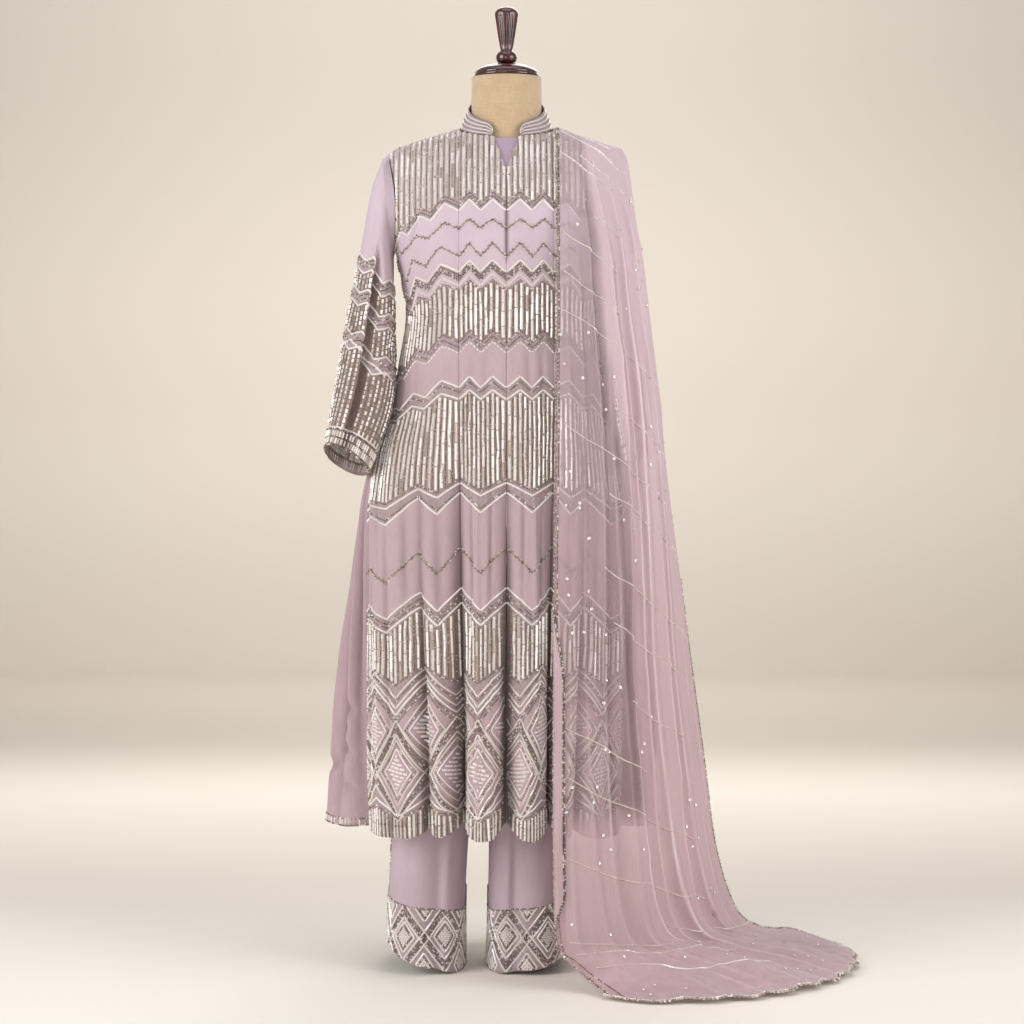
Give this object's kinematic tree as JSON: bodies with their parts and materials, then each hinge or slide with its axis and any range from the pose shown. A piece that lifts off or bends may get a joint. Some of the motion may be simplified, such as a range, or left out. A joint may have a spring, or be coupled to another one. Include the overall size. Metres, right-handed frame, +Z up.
{
  "type": "salwar kameez suit on dress form",
  "caption": "Long flared kameez, straight trousers and a trailing sheer dupatta, worn by a limbless dress form with a turned finial.",
  "frame": {"origin": "on the floor, at the bottom centre of the whole part's box, train included", "axes": "+Z up, -Y the way the suit faces, +X towards the wearer's left, where the dupatta hangs"},
  "size_m": [0.918, 0.5366, 1.643],
  "materials": {
    "georgette": "matte lilac georgette, fine crinkled weave",
    "beaded_georgette": "lilac georgette under rows of white and taupe beads",
    "slip": "smooth lilac lining cloth",
    "trouser_cloth": "matte mauve crepe with a beaded hem",
    "dupatta_net": "sheer mauve georgette with scattered sequins",
    "linen": "cream cotton cover, plain weave",
    "dark_wood": "dark red-brown wood, glossy lacquer",
    "steel": "brushed"
  },
  "bodies": {
    "root": {"dupatta_back_fall": "dupatta_net", "dupatta_front_fall": "dupatta_net", "dupatta_shoulder": "dupatta_net", "dupatta_train": "dupatta_net", "form_body": "linen", "form_cap": "dark_wood", "form_finial": "dark_wood", "kameez_back_centre_left": "beaded_georgette", "kameez_back_centre_right": "beaded_georgette", "kameez_back_side_left": "beaded_georgette", "kameez_back_side_right": "beaded_georgette", "kameez_collar": "beaded_georgette", "kameez_front_centre_left": "beaded_georgette", "kameez_front_centre_right": "beaded_georgette", "kameez_front_side_left": "beaded_georgette", "kameez_front_side_right": "beaded_georgette", "kameez_side_gore_left": "georgette", "kameez_side_gore_right": "georgette", "kameez_sleeve_left": "georgette", "kameez_sleeve_right": "georgette", "neck_slip": "slip", "stand_foot_left": "steel", "stand_foot_right": "steel", "stand_post_left": "steel", "stand_post_right": "steel", "trouser_leg_left": "trouser_cloth", "trouser_leg_right": "trouser_cloth", "trouser_waistband": "trouser_cloth"}
  },
  "joints": []
}
